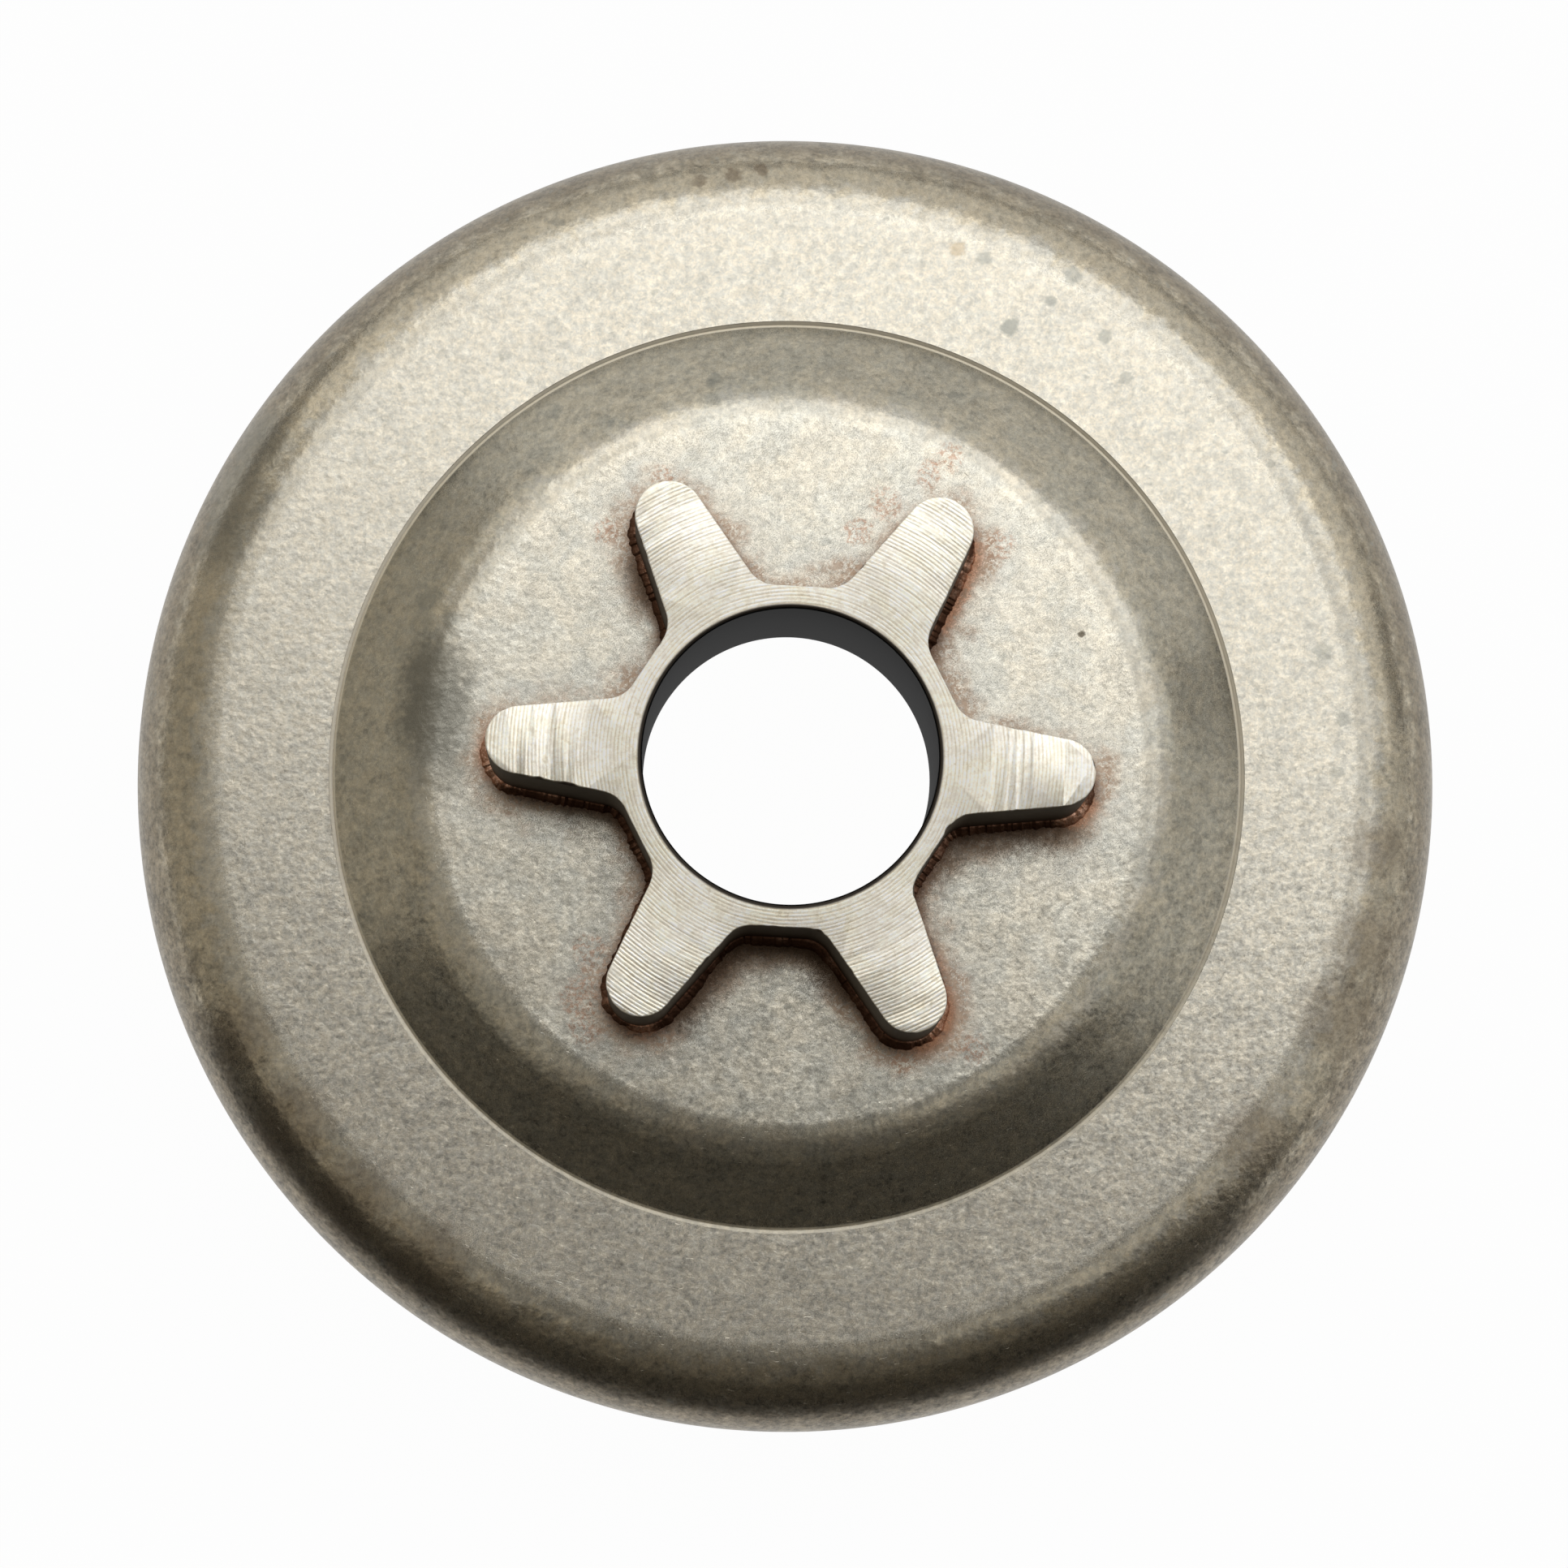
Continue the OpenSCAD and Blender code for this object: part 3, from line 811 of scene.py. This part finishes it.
# %% Roughness and relief of the cup
POLISHED = 0.20
PITTED = 0.42
SCRAPED = 0.5
pits = soft_step(tree, cloud(tree, here["Place"], 45.0, 0.0, 0.5), 0.5, 0.62)
wide = soft_step(tree, spread["Light"], -0.9, 0.9, PITTED + 0.05, PITTED - 0.05)
rough = node(tree, "Mix", {0: pits, 2: POLISHED, 3: wide}, data_type="FLOAT").outputs[0]
rough = calc(tree, "MULTIPLY_ADD", pink, 0.12, rough)
rough = calc(tree, "MULTIPLY_ADD", on_cone, 0.05, rough)
rough = calc(tree, "MULTIPLY_ADD", on_wall, 0.12, rough)
rough = node(tree, "Mix", {0: in_groove, 2: rough, 3: SCRAPED}, data_type="FLOAT").outputs[0]
at_shoulder = calc(
    tree, "MULTIPLY",
    soft_step(tree, here["Radius"], 17.6, 19.0), soft_step(tree, here["Radius"], 20.5, 23.0, 1.0, 0.0)
)
at_corner = calc(
    tree, "MULTIPLY",
    soft_step(tree, here["Radius"], 29.3, 30.8), soft_step(tree, here["Height"], 13.0, 16.5)
)
on_round = calc(tree, "MAXIMUM", at_shoulder, at_corner)
broad_dents = calc(tree, "SUBTRACT", cloud(tree, here["Place"], 0.45, 3.0, 0.55), 0.5)
broad_share = calc(tree, "MULTIPLY_ADD", on_round, 6.0, 0.8)
fine_dents = calc(tree, "MULTIPLY", spread["Height"], calc(tree, "MULTIPLY_ADD", on_round, 1.3, 1.0))
height = calc(tree, "MULTIPLY_ADD", broad_dents, broad_share, fine_dents)
height = calc(tree, "MULTIPLY_ADD", nick, -0.7, height)
tree.links.new(colour, shader.inputs["Base Color"])
tree.links.new(rough, shader.inputs["Roughness"])
set_bump(tree, shader, height, 0.0075)
cup.data.materials.append(cup_finish)

# %% [markdown]
# ## Steel of the sprocket
#
# Three finishes meet on the sprocket. The face is turned bright after hardening. The flanks are
# nearly black, apart from a strip under the face where the tool has dragged the edge. The bore is
# painted nearly black all through, and so is a thin ring of the face round it: painted shade of the
# deep hole.

# %% Turned face
sprocket_finish, tree, shader = new_finish("sprocket_steel", 1.0)
here = use(tree, places)
line = use(tree, turning, Pitch=0.19)
spread = use(tree, grain, Scale=1.0)
cast = cloud(tree, here["Place"], 0.5, 4.0, 0.65, 0.5)
face = blend(tree, soft_step(tree, cast, 0.38, 0.62), (1.0, 0.96, 0.87, 1), (1.0, 0.95, 0.81, 1))
olive = cloud(tree, here["Place"], 1.1, 4.0, 0.7, 0.6)
face = blend(tree, soft_step(tree, olive, 0.58, 0.72, 0.0, 0.55), face, (0.66, 0.59, 0.42, 1))
dim = soft_step(tree, spread["Light"], -1.2, 1.2, 0.92, 1.17)
dim_colour = node(tree, "CombineColor", {0: dim, 1: dim, 2: dim}).outputs[0]
face = blend(tree, 1.0, face, dim_colour, "MULTIPLY")
face = blend(tree, calc(tree, "MULTIPLY", line["Groove"], 0.5), face, (0.60, 0.49, 0.32, 1))
# Painted shade: a thin dark ring of the face round the bore's edge.
face = blend(tree, soft_step(tree, here["Radius"], 7.68, 7.8, 1.0, 0.0), face, (0.07, 0.06, 0.05, 1))

# %% Flanks, hub and bore
# The flanks are coloured nearly black, save the strip under the face.
DARK_FLANK = (0.055, 0.04, 0.031, 1)
DRAGGED = (0.15, 0.125, 0.10, 1)
below_face = calc(tree, "SUBTRACT", sprocket_z, here["Height"])
ragged_below = calc(tree, "MULTIPLY_ADD", calc(tree, "SUBTRACT", cast, 0.5), 0.8, below_face)
flank = blend(tree, soft_step(tree, ragged_below, 0.1, 0.3, 1.0, 0.0), DARK_FLANK, DRAGGED)
patch = soft_step(tree, spread["Light"], -0.3, 0.6, 0.0, 0.35)
flank = blend(tree, patch, flank, (0.12, 0.09, 0.07, 1))
hub_steel = blend(tree, patch, (0.42, 0.40, 0.36, 1), (0.30, 0.27, 0.22, 1))
in_hub = soft_step(tree, here["Height"], centre_z - 0.3, centre_z - 0.1, 1.0, 0.0)
flank = blend(tree, in_hub, flank, hub_steel)
on_face = soft_step(tree, below_face, 0.015, 0.05, 1.0, 0.0)
colour = blend(tree, on_face, flank, face)
# Painted shade: the bore is painted nearly black, as the deep hole's shade.
in_bore = soft_step(tree, here["Radius"], 7.56, 7.6, 1.0, 0.0)
colour = blend(tree, in_bore, colour, (0.016, 0.016, 0.0165, 1))
face_rough = soft_step(tree, here["Radius"], 8.5, 13.5, 0.46, 0.29)
rough = node(tree, "Mix", {0: on_face, 2: 0.5, 3: face_rough}, data_type="FLOAT").outputs[0]
rough = calc(tree, "MULTIPLY_ADD", in_bore, 0.3, rough)
height = calc(tree, "MULTIPLY", line["Height"], on_face)
height = calc(tree, "MULTIPLY_ADD", height, -0.5, calc(tree, "MULTIPLY", spread["Height"], 0.6))
tree.links.new(colour, shader.inputs["Base Color"])
tree.links.new(rough, shader.inputs["Roughness"])
set_bump(tree, shader, height, 0.009)
sprocket.data.materials.append(sprocket_finish)

# %% [markdown]
# ## Copper of the braze
#
# The braze is copper. It came out of the furnace partly bright and partly under brown oxide, in
# patches of a few millimetres, with fine ribs square to the teeth. Its dark brown is also painted
# shade at the foot of the teeth, so full bright copper is kept to a few listed places.

# %% Copper
braze_finish, tree, shader = new_finish("copper_braze", 1.0)
here = use(tree, places)
spread = use(tree, grain, Scale=2.5)
oxide = cloud(tree, here["Place"], 0.35, 3.0, 0.6)
copper = blend(tree, soft_step(tree, spread["Light"], -0.5, 0.5), (0.50, 0.25, 0.15, 1), (0.88, 0.55, 0.40, 1))
# Oxide with painted shade: the braze is kept dark brown, and reads as shaded at the foot of the teeth.
OXIDE_AND_SHADE = (0.13, 0.065, 0.04, 1)
colour = blend(tree, soft_step(tree, oxide, 0.48, 0.66, 0.0, 0.35), OXIDE_AND_SHADE, copper)
BRIGHT_COPPER = [
    ((-15.7, 1.0, 23.0), 2.8), ((15.0, -2.6, 23.0), 1.4), ((10.4, 10.0, 23.0), 1.8), ((8.6, -12.6, 23.0), 2.6),
    ((-7.6, -14.2, 23.0), 1.4),
]
for centre, size in BRIGHT_COPPER:
    colour = blend(tree, use(tree, stain, Centre=centre, Size=size)["Mask"], colour, copper)
tree.links.new(colour, shader.inputs["Base Color"])
tree.links.new(soft_step(tree, spread["Light"], -0.6, 0.6, 0.55, 0.35), shader.inputs["Roughness"])
set_bump(tree, shader, spread["Height"], 0.04)
braze.data.materials.append(braze_finish)

# %% [markdown]
# ## Camera
#
# The photograph looks down on the part from almost straight above, a little from the near side and
# from quite close, so the far rim is seen slightly smaller than the near one.

# %% Place the camera
CAMERA_DISTANCE = 0.400
CAMERA_TILT = radians(4.88)
CAMERA_TURN = radians(-100.5)
flat_middle = Vector((0, 0, flat_z * MM))
aim = flat_middle + Vector((-0.16, -0.455, 0)) * MM
sight = Vector((sin(CAMERA_TILT) * cos(CAMERA_TURN), sin(CAMERA_TILT) * sin(CAMERA_TURN), cos(CAMERA_TILT)))
camera_data = bpy.data.cameras.new("camera")
camera_data.lens = 176.8
camera_data.sensor_width = 36
camera_data.clip_start = 0.01
camera = bpy.data.objects.new("camera", camera_data)
bpy.context.scene.collection.objects.link(camera)
camera.location = flat_middle + CAMERA_DISTANCE * sight
forward = (aim - camera.location).normalized()
right = forward.cross(Vector((0, 1, 0))).normalized()
camera.rotation_euler = Matrix((right, right.cross(forward), -forward)).transposed().to_euler()
bpy.context.scene.camera = camera
print("camera at", [round(c / MM, 1) for c in camera.location], "mm")

# %% [markdown]
# ## Floor, card and lamps
#
# Bare steel shows the room more than itself, so the studio is half of the finish. The part lies on
# a white sweep. A large softbox with a brighter core hangs high behind it, and its near edge ends
# just short of the vertical: flat faces mirror it at the back and lose it at the front. Weaker sheets fill the back
# and the sides of the room. The front is dark, with a dark card close to the part, so the rounded
# edges turn almost black there, and only the lowest part of the wall picks up the white floor.

# %% White floor
FLOOR_R = 1.5
FLOOR_GLOW = 0.975
FLOOR_GAP = 0.02 * MM


def stage_piece(name, bm):
    """Puts a finished mesh into the studio."""
    mesh = bpy.data.meshes.new(name)
    bm.to_mesh(mesh)
    bm.free()
    piece = bpy.data.objects.new(name, mesh)
    bpy.context.scene.collection.objects.link(piece)
    return piece


floor_mesh = bmesh.new()
bmesh.ops.create_circle(floor_mesh, cap_ends=True, segments=128, radius=FLOOR_R)
bmesh.ops.translate(floor_mesh, verts=floor_mesh.verts, vec=(0, 0, -FLOOR_GAP))
floor = stage_piece("floor", floor_mesh)
floor_material = bpy.data.materials.new("white_floor")
floor_material.use_nodes = True
tree = floor_material.node_tree
tree.nodes.clear()
paper = node(tree, "BsdfDiffuse", {"Color": (0.86, 0.86, 0.86, 1)})
glow = node(tree, "Emission", {"Color": (1, 1, 1, 1), "Strength": 1.0})
path = node(tree, "LightPath")
seen = calc(tree, "MAXIMUM", path.outputs["Is Camera Ray"], path.outputs["Is Glossy Ray"])
seen = calc(tree, "MAXIMUM", seen, path.outputs["Is Transmission Ray"])
share = calc(tree, "MULTIPLY", seen, FLOOR_GLOW)
mixed = node(tree, "MixShader", {0: share, 1: paper.outputs[0], 2: glow.outputs[0]})
node(tree, "OutputMaterial", {"Surface": mixed.outputs[0]})
floor.data.materials.append(floor_material)

# %% Dark card at the front
CARD_R = 0.075
CARD_HEIGHT = 0.05
card_mesh = bmesh.new()
foot = card_mesh.verts.new((CARD_R * cos(radians(200)), CARD_R * sin(radians(200)), 0.0005))
top = bmesh.ops.extrude_vert_indiv(card_mesh, verts=[foot])["verts"][0]
top.co.z = CARD_HEIGHT
bmesh.ops.spin(
    card_mesh, geom=card_mesh.verts[:] + card_mesh.edges[:], cent=(0, 0, 0), axis=(0, 0, 1),
    angle=radians(120), steps=40
)
card = stage_piece("dark_card", card_mesh)
card.visible_camera = False
card.visible_diffuse = False
card_material = bpy.data.materials.new("dark_card")
card_material.use_nodes = True
card_shader = card_material.node_tree.nodes["Principled BSDF"]
card_shader.inputs["Base Color"].default_value = (0.075, 0.068, 0.058, 1)
card_shader.inputs["Roughness"].default_value = 0.9
card_shader.inputs["Specular IOR Level"].default_value = 0
card.data.materials.append(card_material)

# %% [markdown]
# Each softbox is given by where it hangs on a half sphere of 1 m round the part: its direction
# against the clock from +X, its angle from the vertical, its width, its height, and how bright its
# cloth is. Its power follows from the cloth's area, so two boxes of unlike size can be compared.

# %% Softboxes
LAMP_DISTANCE = 1.0


def softbox(name, direction, from_vertical, width, height, brightness, tone=(1, 1, 1)):
    """Hangs a softbox round the part, facing it."""
    lamp_data = bpy.data.lights.new(name, "AREA")
    lamp_data.shape = "RECTANGLE"
    lamp_data.size = width
    lamp_data.size_y = height
    lamp_data.energy = pi * width * height * brightness
    lamp_data.color = tone
    lamp = bpy.data.objects.new(name, lamp_data)
    bpy.context.scene.collection.objects.link(lamp)
    turn, lean = radians(direction), radians(from_vertical)
    back = Vector((sin(lean) * cos(turn), sin(lean) * sin(turn), cos(lean)))
    up = Vector((-cos(lean) * cos(turn), -cos(lean) * sin(turn), sin(lean)))
    lamp.location = flat_middle + LAMP_DISTANCE * back
    lamp.rotation_euler = Matrix((up.cross(back), up, back)).transposed().to_euler()
    lamp.visible_camera = False
    print(f"{name}: {lamp_data.energy:.2f} W")
    return lamp


WARM = (1, 0.93, 0.80)
softbox("high_back", 70, 24, 1.2, 0.72, 0.725)
softbox("high_back_core", 74, 14, 0.34, 0.33, 0.96)
softbox("wide_back", 77, 54, 2.7, 1.1, 0.53)
softbox("left_sheet", 175, 53, 1.5, 2.0, 0.21, WARM)
softbox("right_sheet", -10, 58, 0.72, 1.15, 0.39)
softbox("low_right", -45, 22, 0.3, 0.3, 0.35, WARM)
world = bpy.data.worlds.new("studio")
bpy.context.scene.world = world
world.use_nodes = True
world.node_tree.nodes["Background"].inputs["Color"].default_value = (0.084, 0.076, 0.064, 1)
bpy.context.scene.view_settings.view_transform = "Standard"
